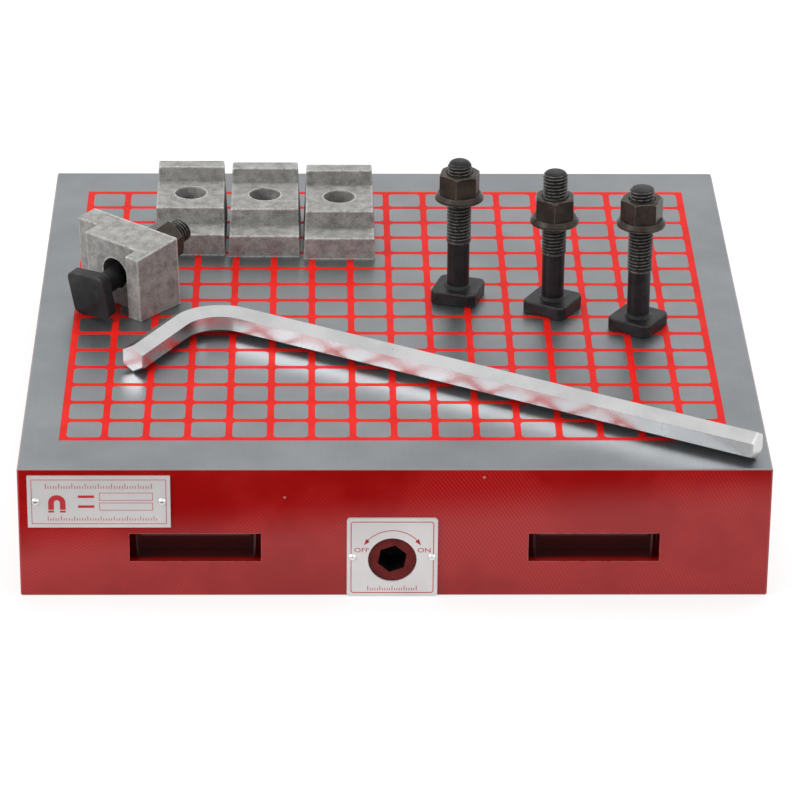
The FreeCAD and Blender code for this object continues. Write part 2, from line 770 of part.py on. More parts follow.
def is_outer_edge(edge):
    """True for the block's upper and standing outer edges, which are rounded."""
    middle = edge.BoundBox.Center
    on_floor = middle.z < 1e-3
    inner_ledge = abs(middle.y - ledge_depth) < 1e-3 and abs(middle.z - ledge_height) < 1e-3
    inner_seat = (abs(middle.y - ledge_depth - seat_depth) < 1e-3
                  and abs(middle.z - seat_height) < 1e-3)
    return not (on_floor or inner_ledge or inner_seat)


def standing_block(index):
    x, y = standing_blocks[index]
    return moved(clamp_block(), x, y, face_z)


def side_block_placement():
    """The fourth block lies on one drafted side, its seat towards the front left."""
    draft = math.degrees(math.atan(block_draft))
    roll = FreeCAD.Rotation(Y_AXIS, 90 + draft)
    turn = FreeCAD.Rotation(Z_AXIS, side_block_angle - 90)
    rotation = turn.multiply(roll)
    low_corner = Vec(block_width / 2, block_depth, 0)
    target = Vec(side_block_corner[0], side_block_corner[1], face_z)
    return FreeCAD.Placement(target - rotation.multVec(low_corner), rotation)


def side_block():
    block = clamp_block()
    block.Placement = side_block_placement()
    return block


# ---------------------------------------------------------------- T-bolts and nuts
def t_bolt(domed):
    """A square-head bolt standing on its head: head face at z=0."""
    outline = rounded_rectangle(bolt_head_size, bolt_head_size, bolt_head_corner)
    head = Part.Face(outline).extrude(Vec(0, 0, bolt_head_thickness))
    flat_edges = [edge for edge in head.Edges if edge.BoundBox.ZLength < 1e-6]
    head = head.makeChamfer(bolt_head_edge, flat_edges)
    dimple = Part.makeCone(head_dimple_radius, head_dimple_radius / 2, head_dimple_depth)
    neck = Part.makeCone(bolt_shank_radius + bolt_neck_rise, bolt_shank_radius, bolt_neck_rise,
                         Vec(0, 0, bolt_head_thickness))
    shank = Part.makeCylinder(bolt_shank_radius, bolt_thread_start)
    thread_length = bolt_length - bolt_thread_start
    thread = Part.makeCylinder(bolt_thread_radius, thread_length)
    top = [edge for edge in thread.Edges if abs(edge.BoundBox.ZMin - thread_length) < 1e-6]
    if domed:
        thread = thread.makeFillet(bolt_tip_dome, top)
    else:
        thread = thread.makeChamfer(bolt_tip_chamfer, top)
    thread.translate(Vec(0, 0, bolt_thread_start))
    return head.cut(dimple).fuse([neck, shank, thread]).removeSplitter()


def collar_nut():
    """A hexagon nut with a round collar: collar face at z=0, hexagon vertex towards +X."""
    rim = Part.makeCylinder(nut_flange_radius, nut_flange_rim)
    corner_radius = nut_across_flats / math.sqrt(3)
    slope = nut_flange_thickness - nut_flange_rim
    cone = Part.makeCone(nut_flange_radius, corner_radius, slope, Vec(0, 0, nut_flange_rim))
    body = hexagon(nut_across_flats, nut_height)
    drop = (corner_radius - nut_across_flats / 2) * math.tan(math.radians(nut_top_chamfer_angle))
    cap = Part.makeCone(corner_radius, nut_across_flats / 2, drop, Vec(0, 0, nut_height - drop))
    envelope = Part.makeCylinder(corner_radius, nut_height - drop).fuse(cap)
    body = body.common(envelope)
    bore_radius_nut = bolt_thread_radius + nut_thread_fit
    mouth_radius = bore_radius_nut + nut_mouth_chamfer
    bore = Part.makeCylinder(bore_radius_nut, nut_height)
    lower = Part.makeCone(mouth_radius, bore_radius_nut, nut_mouth_chamfer)
    upper = Part.makeCone(bore_radius_nut, mouth_radius, nut_mouth_chamfer,
                          Vec(0, 0, nut_height - nut_mouth_chamfer))
    return rim.fuse([cone, body]).cut([bore, lower, upper]).removeSplitter()


def standing_bolt(index):
    x, y, angle, _, _, domed = standing_bolts[index]
    bolt = t_bolt(domed)
    bolt.rotate(Vec(0, 0, 0), Z_AXIS, angle)
    return moved(bolt, x, y, face_z)


def standing_nut(index):
    x, y, _, height, angle, _ = standing_bolts[index]
    nut = collar_nut()
    nut.rotate(Vec(0, 0, 0), Z_AXIS, angle - 90)
    return moved(nut, x, y, chuck_height + height)


def side_bolt_placement():
    """The fourth bolt leans in the side block's hole, its head resting on the face."""
    block = side_block_placement()
    entry = block.multVec(Vec(0, block_hole_y, seat_height))
    sink = block_hole_radius - bolt_thread_radius - side_bolt_thread_gap
    entry = entry - Vec(0, 0, sink)
    outward = block.Rotation.multVec(Vec(0, 0, -1))
    heading = math.degrees(math.atan2(outward.y, outward.x))
    roll = FreeCAD.Rotation(Z_AXIS, side_bolt_roll)
    lean = FreeCAD.Rotation(Y_AXIS, 90 - side_bolt_tilt)
    turn = FreeCAD.Rotation(Z_AXIS, heading + side_bolt_yaw)
    rotation = turn.multiply(lean).multiply(roll)
    axis = rotation.multVec(Z_AXIS)
    return FreeCAD.Placement(entry - axis * side_bolt_reach, rotation)


def side_bolt():
    bolt = t_bolt(False)
    bolt.Placement = side_bolt_placement()
    return bolt


def side_nut():
    nut = collar_nut()
    nut.rotate(Vec(0, 0, 0), Z_AXIS, side_nut_angle)
    nut.translate(Vec(0, 0, side_nut_travel))
    nut.Placement = side_bolt_placement().multiply(nut.Placement)
    return nut


# ---------------------------------------------------------------- all nodes
def main():
    os.makedirs("parts", exist_ok=True)
    save("housing", make_housing())
    save("resin_grid", make_resin_grid())
    save("pole_blocks", make_pole_blocks())
    save("base_plate", make_base_plate())
    save("base_screws", make_base_screws())
    save("slide_strips", make_slide_strips())
    save("strip_screws", make_strip_screws())
    save("shaft_bush", make_shaft_bush())
    save("thrust_washer", make_thrust_washer())
    save("stop_pins", make_stop_pins())
    save("eccentric_shaft", make_eccentric_shaft())
    save("o_ring", make_o_ring())
    save("retaining_ring", make_retaining_ring())
    save("crank_roller", make_crank_roller())
    save("pack_carrier", make_pack_carrier())
    save("tie_bar_screws", make_tie_bar_screws())
    save("pack_tie_bars", make_pack_tie_bars())
    save("pack_pole_bars", make_pack_pole_bars())
    save("pack_magnets", make_pack_magnets())
    save("drive_yoke", make_drive_yoke())
    save("yoke_screws", make_yoke_screws())
    save("nameplate", make_nameplate())
    save("nameplate_rivets", make_rivets(nameplate_centre_x, nameplate_centre_z,
                                         nameplate_rivet_spacing, nameplate_thickness))
    save("dial_plate", make_dial_plate())
    save("dial_rivets", make_rivets(dial_centre_x, dial_centre_z, dial_rivet_spacing, dial_thickness))
    save("hex_key", make_hex_key())
    for index in range(len(standing_blocks)):
        save("clamp_block_%d" % (index + 1), standing_block(index))
    save("clamp_block_4", side_block())
    for index in range(len(standing_bolts)):
        save("t_bolt_%d" % (index + 1), standing_bolt(index))
        save("collar_nut_%d" % (index + 1), standing_nut(index))
    save("t_bolt_4", side_bolt())
    save("collar_nut_4", side_nut())


main()
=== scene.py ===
"""Looks of a permanent magnetic chuck and its clamping kit.

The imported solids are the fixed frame. This script gives every surface its finish, cuts the
threads of the T-bolts, prints the nameplate and the dial plate, and lights it all in a studio.
Lengths are in metres, +Z up, with the chuck's front towards -Y.
"""

import json
import math

import bmesh
import bpy
from mathutils import Matrix, Vector


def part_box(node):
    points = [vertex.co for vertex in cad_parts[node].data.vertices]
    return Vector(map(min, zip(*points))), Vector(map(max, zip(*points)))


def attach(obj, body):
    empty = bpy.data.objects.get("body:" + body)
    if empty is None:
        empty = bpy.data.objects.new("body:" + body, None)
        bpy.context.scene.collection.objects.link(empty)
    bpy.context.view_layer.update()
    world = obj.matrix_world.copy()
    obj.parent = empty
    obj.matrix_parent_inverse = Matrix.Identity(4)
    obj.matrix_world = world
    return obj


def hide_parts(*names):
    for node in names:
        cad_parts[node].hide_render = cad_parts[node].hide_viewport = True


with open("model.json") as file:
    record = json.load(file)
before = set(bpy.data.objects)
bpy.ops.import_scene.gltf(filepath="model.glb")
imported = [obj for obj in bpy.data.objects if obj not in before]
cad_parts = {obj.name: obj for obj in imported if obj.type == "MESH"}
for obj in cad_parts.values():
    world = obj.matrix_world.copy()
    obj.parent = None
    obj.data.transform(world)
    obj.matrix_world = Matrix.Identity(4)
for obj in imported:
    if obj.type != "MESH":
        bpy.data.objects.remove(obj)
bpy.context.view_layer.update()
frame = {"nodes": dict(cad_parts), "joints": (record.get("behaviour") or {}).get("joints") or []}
nodes = frame["nodes"]
mm = 0.001

# ---------------------------------------------------------------- sizes of the finish
chuck_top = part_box("housing")[1].z
chuck_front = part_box("housing")[0].y
chuck_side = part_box("housing")[1].x
bare_rim = 0.75 * mm
shaft_centre = sum(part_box("shaft_bush"), Vector()) / 2
socket_reach = 8.4 * mm

thread_pitch = 2.0 * mm
thread_radius = 7.0 * mm
thread_depth = 1.15 * mm
thread_start = 35.5 * mm
thread_cut_margin = 0.2 * mm
flat_margin = 0.01 * mm
merge_distance = 0.0001 * mm
crease_angle = math.radians(28)
thread_sides = 48
thread_rows_per_turn = 10
tip_round = {"t_bolt_1": 4.6 * mm, "t_bolt_2": 3.4 * mm, "t_bolt_3": 1.6 * mm, "t_bolt_4": 1.6 * mm}
bolt_bodies = {"t_bolt_%d" % n: "bolt_%d" % n for n in (1, 2, 3, 4)}

ink_height = 0.05 * mm
plate_inset = {"nameplate": 2.1 * mm, "dial_plate": 2.0 * mm}
scale_spacing = 1.4 * mm
scale_line = 0.36 * mm
capital_height = 2.6 * mm
capital_share = 0.7
capital_stretch = 1.25

# Depths in from the outer faces where the painted shade in the pockets begins and where it is full.
pocket_shade_start = 1.0 * mm
pocket_shade_depth = 7.0 * mm
nose_paint_depth = 3.0 * mm

# ---------------------------------------------------------------- camera
lens_mm = 192.19
sensor_mm = 36.0
camera_place = Vector((-0.0415, -2.2112, 1.0987))
camera_yaw = math.radians(1.239)
camera_pitch = math.radians(26.02)
camera_roll = math.radians(0.555)


# ---------------------------------------------------------------- node-tree helpers
def add(tree, kind, sockets=None, **settings):
    """Add a node; a socket given as another node's output is joined, any other value is set."""
    made = tree.nodes.new(kind)
    for name, value in settings.items():
        setattr(made, name, value)
    for name, value in (sockets or {}).items():
        if isinstance(value, bpy.types.NodeSocket):
            tree.links.new(value, made.inputs[name])
        else:
            made.inputs[name].default_value = value
    return made


def calc(tree, operation, a, b=0.0, c=0.0, clamp=False):
    """One Math node's result."""
    made = add(tree, "ShaderNodeMath", {0: a, 1: b, 2: c}, operation=operation, use_clamp=clamp)
    return made.outputs[0]


def step_up(tree, value, low, high):
    """0 below low, 1 above high, smooth between."""
    made = add(tree, "ShaderNodeMapRange", {"Value": value, "From Min": low, "From Max": high},
               interpolation_type="SMOOTHSTEP")
    return made.outputs[0]


def blend_colours(tree, factor, a, b):
    made = add(tree, "ShaderNodeMix", data_type="RGBA")
    for index, value in ((0, factor), (6, a), (7, b)):
        if isinstance(value, bpy.types.NodeSocket):
            tree.links.new(value, made.inputs[index])
        else:
            made.inputs[index].default_value = value
    return made.outputs[2]


def tint(red, green, blue):
    return (red, green, blue, 1.0)


def new_group(name, inputs, outputs):
    """A shader node group; returns it with its input and output nodes."""
    group = bpy.data.node_groups.new(name, "ShaderNodeTree")
    for label, kind, value in inputs:
        socket = group.interface.new_socket(label, in_out="INPUT", socket_type=kind)
        if value is not None:
            socket.default_value = value
    for label, kind in outputs:
        group.interface.new_socket(label, in_out="OUTPUT", socket_type=kind)
    return group, group.nodes.new("NodeGroupInput"), group.nodes.new("NodeGroupOutput")


def use_group(tree, group, **sockets):
    made = tree.nodes.new("ShaderNodeGroup")
    made.node_tree = group
    for label, value in sockets.items():
        label = label.replace("_", " ")
        if isinstance(value, bpy.types.NodeSocket):
            tree.links.new(value, made.inputs[label])
        else:
            made.inputs[label].default_value = value
    return made.outputs


# ---------------------------------------------------------------- shared surface effects
def make_grain():
    """Fine random grain with slower patches, for cast, blasted and oxidised metal."""
    group, given, result = new_group(
        "surface_grain",
        [("Grains per metre", "NodeSocketFloat", 900.0), ("Patches per metre", "NodeSocketFloat", 40.0)],
        [("Grain", "NodeSocketFloat"), ("Patches", "NodeSocketFloat")])
    place = add(group, "ShaderNodeTexCoord").outputs["Object"]
    fine = add(group, "ShaderNodeTexNoise", {
        "Vector": place, "Scale": given.outputs[0], "Detail": 3.0, "Roughness": 0.65})
    slow = add(group, "ShaderNodeTexNoise", {
        "Vector": place, "Scale": given.outputs[1], "Detail": 4.0, "Roughness": 0.6})
    group.links.new(fine.outputs["Fac"], result.inputs["Grain"])
    group.links.new(slow.outputs["Fac"], result.inputs["Patches"])
    return group


def make_edge_wear_and_highlight():
    """A mask of the outer edges, broken up by noise, where a finish has rubbed off and where a painted
    highlight stands for the light that rounded edges catch.

    A point counts as on an edge when short rays into the piece come out of it again.
    """
    group, given, result = new_group(
        "edge_wear_and_highlight",
        [("Width", "NodeSocketFloat", 1.2 * mm), ("Breaks per metre", "NodeSocketFloat", 300.0)],
        [("Mask", "NodeSocketFloat")])
    inner = add(group, "ShaderNodeAmbientOcclusion", {"Distance": given.outputs[0]},
                inside=True, only_local=True, samples=12)
    edge = step_up(group, calc(group, "SUBTRACT", 1.0, inner.outputs["AO"]), 0.10, 0.24)
    place = add(group, "ShaderNodeTexCoord").outputs["Object"]
    breaks = add(group, "ShaderNodeTexNoise", {
        "Vector": place, "Scale": given.outputs[1], "Detail": 3.0, "Roughness": 0.7})
    kept = step_up(group, breaks.outputs["Fac"], 0.34, 0.56)
    group.links.new(calc(group, "MULTIPLY", edge, kept), result.inputs["Mask"])
    return group


def make_grinding():
    """Straight wheel marks along Y with faint cloudiness, for surface-ground steel."""
    group, given, result = new_group(
        "wheel_marks",
        [("Lines per metre", "NodeSocketFloat", 2600.0), ("Length", "NodeSocketFloat", 0.02)],
        [("Lines", "NodeSocketFloat"), ("Clouds", "NodeSocketFloat")])
    place = add(group, "ShaderNodeTexCoord").outputs["Object"]
    split = add(group, "ShaderNodeSeparateXYZ", {0: place})
    along = calc(group, "MULTIPLY", split.outputs[1], given.outputs[1])
    stretched = add(group, "ShaderNodeCombineXYZ", {0: split.outputs[0], 1: along, 2: split.outputs[2]})
    lines = add(group, "ShaderNodeTexNoise", {
        "Vector": stretched.outputs[0], "Scale": given.outputs[0], "Detail": 2.0, "Roughness": 0.6})
    clouds = add(group, "ShaderNodeTexNoise", {
        "Vector": place, "Scale": 22.0, "Detail": 5.0, "Roughness": 0.6})
    group.links.new(lines.outputs["Fac"], result.inputs["Lines"])
    group.links.new(clouds.outputs["Fac"], result.inputs["Clouds"])
    return group


def make_flecks():
    """Rare small flecks, such as chips, dust and pinholes."""
    group, given, result = new_group(
        "flecks",
        [("Cells per metre", "NodeSocketFloat", 120.0), ("Share", "NodeSocketFloat", 0.05),
         ("Size", "NodeSocketFloat", 0.1)],
        [("Mask", "NodeSocketFloat")])
    place = add(group, "ShaderNodeTexCoord").outputs["Object"]
    cells = add(group, "ShaderNodeTexVoronoi", {"Vector": place, "Scale": given.outputs[0]})
    chance = add(group, "ShaderNodeSeparateColor", {0: cells.outputs["Color"]}).outputs[0]
    chosen = calc(group, "LESS_THAN", chance, given.outputs[1])
    near = calc(group, "LESS_THAN", cells.outputs["Distance"], given.outputs[2])
    group.links.new(calc(group, "MULTIPLY", chosen, near), result.inputs["Mask"])
    return group


grain = make_grain()
edge_wear_and_highlight = make_edge_wear_and_highlight()
wheel_marks = make_grinding()
flecks = make_flecks()


# ---------------------------------------------------------------- materials
def new_material(name, **shader):
    """A material with its Principled BSDF; plain numbers go on the shader's own sockets."""
    material = bpy.data.materials.new(name)
    material.use_nodes = True
    tree = material.node_tree
    tree.nodes.clear()
    bsdf = add(tree, "ShaderNodeBsdfPrincipled")
    output = add(tree, "ShaderNodeOutputMaterial")
    tree.links.new(bsdf.outputs[0], output.inputs[0])
    for label, value in shader.items():
        bsdf.inputs[label.replace("_", " ")].default_value = value
    return material, tree, bsdf


def bump(tree, height, distance, strength=1.0):
    made = add(tree, "ShaderNodeBump", {"Height": height, "Distance": distance, "Strength": strength})
    return made.outputs[0]


def ground_steel_look(tree):
    """Colour, roughness and height of the ground working face."""
    marks = use_group(tree, wheel_marks)
    tone = calc(tree, "ADD", calc(tree, "MULTIPLY", marks["Lines"], 0.3),
                calc(tree, "MULTIPLY", marks["Clouds"], 0.7))
    colour = blend_colours(tree, step_up(tree, tone, 0.3, 0.7),
                           tint(0.250, 0.262, 0.274), tint(0.315, 0.330, 0.342))
    rough = calc(tree, "MULTIPLY_ADD", marks["Lines"], 0.12, 0.34)
    return colour, rough, marks["Lines"]


def make_pole_steel():
    material, tree, bsdf = new_material("ground_pole_steel", Metallic=1.0)
    colour, rough, height = ground_steel_look(tree)
    tree.links.new(colour, bsdf.inputs["Base Color"])
    tree.links.new(rough, bsdf.inputs["Roughness"])
    tree.links.new(bump(tree, height, 0.004 * mm), bsdf.inputs["Normal"])
    return material


def milling_arcs(tree, place, centre_x, centre_z, spacing):
    """Height of face-mill marks: rings in the XZ plane round a far centre."""
    shifted = add(tree, "ShaderNodeMapping", {
        "Vector": place, "Location": (-centre_x, 0.0, -centre_z)}).outputs[0]
    wave = add(tree, "ShaderNodeTexWave", {
        "Vector": shifted, "Scale": math.pi / (10.0 * spacing), "Distortion": 0.0},
        wave_type="RINGS", rings_direction="Y")
    return wave.outputs["Fac"]


def make_housing_finish():
    """Red gloss paint over milled sides, bare ground steel on top, painted shade in the pockets, and edges
    lightened for wear and a painted highlight.
    """
    material, tree, bsdf = new_material("red_housing", Coat_Roughness=0.08, Specular_IOR_Level=0.04)
    place = add(tree, "ShaderNodeTexCoord").outputs["Object"]
    split = add(tree, "ShaderNodeSeparateXYZ", {0: place}).outputs
    height = split[2]
    bare = step_up(tree, height, chuck_top - bare_rim, chuck_top - 0.6 * bare_rim)
    steel, steel_rough, steel_height = ground_steel_look(tree)
    arcs = calc(tree, "MULTIPLY_ADD", milling_arcs(tree, place, -0.30, 0.42, 1.9 * mm), 0.3,
                milling_arcs(tree, place, -0.36, -0.22, 1.75 * mm))
    body = use_group(tree, grain, Grains_per_metre=420.0, Patches_per_metre=14.0)
    shown = step_up(tree, body["Patches"], 0.42, 0.62)
    arcs = calc(tree, "MULTIPLY", arcs, shown)
    chips = use_group(tree, flecks, Cells_per_metre=85.0, Share=0.035, Size=0.07)["Mask"]
    edge_wear_and_highlight_mask = use_group(tree, edge_wear_and_highlight, Width=0.5 * mm, Breaks_per_metre=220.0)["Mask"]
    deep = blend_colours(tree, step_up(tree, body["Patches"], 0.3, 0.7),
                         tint(0.335, 0.0009, 0.0010), tint(0.385, 0.0013, 0.0014))
    lined = blend_colours(tree, calc(tree, "MULTIPLY", arcs, 0.32), deep, tint(0.60, 0.04, 0.04))
    # Painted shade: inside the pockets the paint darkens to near black, deeper in from the outer faces.
    off_sides = step_up(tree, calc(tree, "ABSOLUTE", split[0]), chuck_side, chuck_side - pocket_shade_start)
    off_faces = step_up(tree, calc(tree, "ABSOLUTE", split[1]),
                        chuck_side - pocket_shade_start, chuck_side - pocket_shade_depth)
    pocket_painted_shade = calc(tree, "MULTIPLY", off_sides, off_faces)
    lined = blend_colours(tree, pocket_painted_shade, lined, tint(0.06, 0.001, 0.001))
    paint = blend_colours(tree, calc(tree, "MULTIPLY", chips, 0.75), lined, tint(0.55, 0.30, 0.28))
    # Edges lightened: partly rubbed paint, partly a painted highlight along the edges.
    paint = blend_colours(tree, calc(tree, "MULTIPLY", edge_wear_and_highlight_mask, 0.35), paint, tint(0.50, 0.25, 0.23))
    tree.links.new(blend_colours(tree, bare, paint, steel), bsdf.inputs["Base Color"])
    tree.links.new(bare, bsdf.inputs["Metallic"])
    rough = add(tree, "ShaderNodeMix", {0: bare, 2: 0.34, 3: steel_rough}).outputs[0]
    tree.links.new(rough, bsdf.inputs["Roughness"])
    painted = calc(tree, "SUBTRACT", 1.0, bare)
    tree.links.new(calc(tree, "MULTIPLY", painted, 0.85), bsdf.inputs["Coat Weight"])
    relief = calc(tree, "MULTIPLY_ADD", body["Grain"], 0.6, arcs)
    relief = add(tree, "ShaderNodeMix", {0: bare, 2: relief, 3: steel_height}).outputs[0]
    tree.links.new(bump(tree, relief, 0.009 * mm), bsdf.inputs["Normal"])
    return material


def make_resin():
    """Bright red cast resin, ground flush with the poles."""
    material, tree, bsdf = new_material("red_resin", Roughness=0.4, Specular_IOR_Level=0.08)
    body = use_group(tree, grain, Grains_per_metre=700.0, Patches_per_metre=45.0)
    colour = blend_colours(tree, step_up(tree, body["Patches"], 0.35, 0.65),
                           tint(0.63, 0.010, 0.007), tint(0.72, 0.015, 0.010))
    specks = use_group(tree, flecks, Cells_per_metre=420.0, Share=0.06, Size=0.16)["Mask"]
    colour = blend_colours(tree, calc(tree, "MULTIPLY", specks, 0.5), colour, tint(0.35, 0.01, 0.01))
    tree.links.new(colour, bsdf.inputs["Base Color"])
    tree.links.new(bump(tree, body["Grain"], 0.01 * mm), bsdf.inputs["Normal"])
    return material


def make_cast_block():
    """Blasted cast steel: mottled grey with fine grain, lighter along its edges for rubbed wear and a
    painted highlight.
    """
    material, tree, bsdf = new_material("cast_block_grey")
    body = use_group(tree, grain, Grains_per_metre=1300.0, Patches_per_metre=170.0)
    tone = calc(tree, "MULTIPLY_ADD", body["Grain"], 0.5, calc(tree, "MULTIPLY", body["Patches"], 0.5))
    colour = blend_colours(tree, step_up(tree, tone, 0.32, 0.68),
                           tint(0.165, 0.162, 0.152), tint(0.415, 0.412, 0.395))
    edge_wear_and_highlight_mask = use_group(tree, edge_wear_and_highlight, Width=1.4 * mm, Breaks_per_metre=420.0)["Mask"]
    # Painted highlight and wear: the edges are lightened, partly for rubbed metal, partly for the light the
    # rounded edges catch.
    colour = blend_colours(tree, calc(tree, "MULTIPLY", edge_wear_and_highlight_mask, 0.75), colour, tint(0.72, 0.72, 0.70))
    tree.links.new(colour, bsdf.inputs["Base Color"])
    tree.links.new(calc(tree, "MULTIPLY_ADD", edge_wear_and_highlight_mask, 0.3, 0.12), bsdf.inputs["Metallic"])
    tree.links.new(calc(tree, "MULTIPLY_ADD", body["Grain"], 0.3, 0.38), bsdf.inputs["Roughness"])
    tree.links.new(bump(tree, body["Grain"], 0.12 * mm), bsdf.inputs["Normal"])
    return material


def make_oxide(name, dark, light, shine):
    """Black or brown oxide on steel, lighter along the edges for rubbed-through oxide and a painted
    highlight.
    """
    material, tree, bsdf = new_material(name, Metallic=0.25, Specular_IOR_Level=0.3)
    body = use_group(tree, grain, Grains_per_metre=900.0, Patches_per_metre=120.0)
    colour = blend_colours(tree, step_up(tree, body["Patches"], 0.35, 0.65), dark, light)
    edge_wear_and_highlight_mask = use_group(tree, edge_wear_and_highlight, Width=0.8 * mm, Breaks_per_metre=600.0)["Mask"]
    # Edges lightened: partly oxide rubbed through, partly a painted highlight on the edges.
    colour = blend_colours(tree, calc(tree, "MULTIPLY", edge_wear_and_highlight_mask, 0.6), colour, tint(0.24, 0.22, 0.20))
    tree.links.new(colour, bsdf.inputs["Base Color"])
    tree.links.new(calc(tree, "MULTIPLY_ADD", body["Grain"], 0.25, shine), bsdf.inputs["Roughness"])
    tree.links.new(bump(tree, body["Grain"], 0.05 * mm), bsdf.inputs["Normal"])
    return material


def make_plated_key():
    """Satin nickel on drawn hexagon bar."""
    material, tree, bsdf = new_material("plated_key", Metallic=1.0)
    body = use_group(tree, grain, Grains_per_metre=1500.0, Patches_per_metre=35.0)
    colour = blend_colours(tree, step_up(tree, body["Patches"], 0.3, 0.7),
                           tint(0.54, 0.54, 0.545), tint(0.64, 0.64, 0.645))
    specks = use_group(tree, flecks, Cells_per_metre=260.0, Share=0.04, Size=0.12)["Mask"]
    colour = blend_colours(tree, calc(tree, "MULTIPLY", specks, 0.5), colour, tint(0.25, 0.24, 0.22))
    tree.links.new(colour, bsdf.inputs["Base Color"])
    tree.links.new(calc(tree, "MULTIPLY_ADD", body["Patches"], 0.2, 0.16), bsdf.inputs["Roughness"])
    tree.links.new(bump(tree, body["Grain"], 0.03 * mm), bsdf.inputs["Normal"])
    return material


def make_metal(name, dark, light, roughness, grains=800.0, relief=0.02 * mm, metallic=1.0):
    """Plain turned, drawn or moulded piece: two tones of one colour and fine grain."""
    material, tree, bsdf = new_material(name, Metallic=metallic)
    body = use_group(tree, grain, Grains_per_metre=grains, Patches_per_metre=30.0)
    colour = blend_colours(tree, step_up(tree, body["Patches"], 0.3, 0.7), dark, light)
    tree.links.new(colour, bsdf.inputs["Base Color"])
    tree.links.new(calc(tree, "MULTIPLY_ADD", body["Grain"], 0.2, roughness), bsdf.inputs["Roughness"])
    tree.links.new(bump(tree, body["Grain"], relief), bsdf.inputs["Normal"])
    return material


def make_shaft_finish():
    """Dark red paint on the shaft's nose face, painted shade near black in its socket, turned steel behind.
    """
    material, tree, bsdf = new_material("painted_nose", Specular_IOR_Level=0.2)
    place = add(tree, "ShaderNodeTexCoord").outputs["Object"]
    split = add(tree, "ShaderNodeSeparateXYZ", {0: place})
    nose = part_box("eccentric_shaft")[0].y
    painted = step_up(tree, split.outputs[1], nose + nose_paint_depth, nose + nose_paint_depth - 1 * mm)
    across = calc(tree, "SUBTRACT", split.outputs[0], shaft_centre.x)
    upward = calc(tree, "SUBTRACT", split.outputs[2], shaft_centre.z)
    square = calc(tree, "MULTIPLY_ADD", across, across, calc(tree, "MULTIPLY", upward, upward))
    away = calc(tree, "SQRT", square)
    # Painted shade: the inside of the hex socket is painted near black.
    socket_painted_shade = calc(tree, "MULTIPLY", step_up(tree, away, socket_reach, socket_reach - 0.2 * mm),
                step_up(tree, split.outputs[1], nose + 0.2 * mm, nose + 0.5 * mm))
    body = use_group(tree, grain, Grains_per_metre=600.0, Patches_per_metre=130.0)
    paint = blend_colours(tree, step_up(tree, body["Patches"], 0.35, 0.65),
                          tint(0.100, 0.005, 0.005), tint(0.165, 0.010, 0.010))
    steel = blend_colours(tree, body["Grain"], tint(0.34, 0.34, 0.35), tint(0.48, 0.48, 0.49))
    outside = blend_colours(tree, painted, steel, paint)
    tree.links.new(blend_colours(tree, socket_painted_shade, outside, tint(0.006, 0.005, 0.005)), bsdf.inputs["Base Color"])
    covered = calc(tree, "MAXIMUM", painted, socket_painted_shade)
    tree.links.new(calc(tree, "SUBTRACT", 1.0, covered), bsdf.inputs["Metallic"])
    tree.links.new(calc(tree, "MULTIPLY_ADD", body["Grain"], 0.2, 0.3), bsdf.inputs["Roughness"])
    tree.links.new(bump(tree, body["Grain"], 0.04 * mm), bsdf.inputs["Normal"])
    return material


finishes = {
    "red_housing": make_housing_finish(),
    "resin": make_resin(),
    "pole_steel": make_pole_steel(),
    "cast_block": make_cast_block(),
    "bolt_oxide": make_oxide(
        "black_bolt_oxide", tint(0.010, 0.010, 0.011), tint(0.022, 0.022, 0.024), 0.30),
    "nut_oxide": make_oxide(
        "brown_nut_oxide", tint(0.022, 0.017, 0.013), tint(0.052, 0.040, 0.031), 0.26),
    "key_plate": make_plated_key(),
    "nose": make_shaft_finish(),
    "steel": make_metal("machined_steel", tint(0.34, 0.35, 0.36), tint(0.44, 0.45, 0.46), 0.3),
    "black_screw": make_metal("black_screw", tint(0.03, 0.03, 0.033), tint(0.06, 0.06, 0.065), 0.35),
    "bronze": make_metal("bronze", tint(0.52, 0.33, 0.14), tint(0.64, 0.43, 0.20), 0.28),
    "bright_pin": make_metal("bright_pin", tint(0.62, 0.62, 0.63), tint(0.72, 0.72, 0.73), 0.18),
    "plate": make_metal(
        "satin_plate", tint(0.72, 0.70, 0.70), tint(0.80, 0.78, 0.78), 0.36, 1400.0, metallic=0.35),
    "rivet": make_metal("bright_rivet", tint(0.72, 0.72, 0.72), tint(0.82, 0.82, 0.82), 0.2),
    "magnet": make_metal(
        "sintered_magnet", tint(0.03, 0.03, 0.032), tint(0.05, 0.05, 0.053), 0.5, metallic=0.0),
    "rubber": make_metal(
        "black_rubber", tint(0.012, 0.012, 0.012), tint(0.02, 0.02, 0.02), 0.55, metallic=0.0),
    "red_ink": make_metal("red_ink", tint(0.50, 0.012, 0.020), tint(0.58, 0.020, 0.030), 0.4, metallic=0.0),
}

node_finish = {
    "red_housing": ("housing",),
    "resin": ("resin_grid",),
    "pole_steel": ("pole_blocks", "pack_pole_bars"),
    "steel": ("base_plate", "pack_carrier", "pack_tie_bars", "drive_yoke"),
    "black_screw": ("base_screws", "strip_screws", "tie_bar_screws", "yoke_screws"),
    "bronze": ("slide_strips", "shaft_bush", "thrust_washer"),
    "bright_pin": ("stop_pins", "retaining_ring", "crank_roller"),
    "nose": ("eccentric_shaft",),
    "rubber": ("o_ring",),
    "magnet": ("pack_magnets",),
    "plate": ("nameplate", "dial_plate"),
    "rivet": ("nameplate_rivets", "dial_rivets"),
    "key_plate": ("hex_key",),
    "cast_block": tuple("clamp_block_%d" % n for n in (1, 2, 3, 4)),
    "bolt_oxide": tuple("t_bolt_%d" % n for n in (1, 2, 3, 4)),
    "nut_oxide": tuple("collar_nut_%d" % n for n in (1, 2, 3, 4)),
}

for finish, names in node_finish.items():
    for name in names:
        for material_slot in nodes[name].material_slots:
            material_slot.material = finishes[finish]


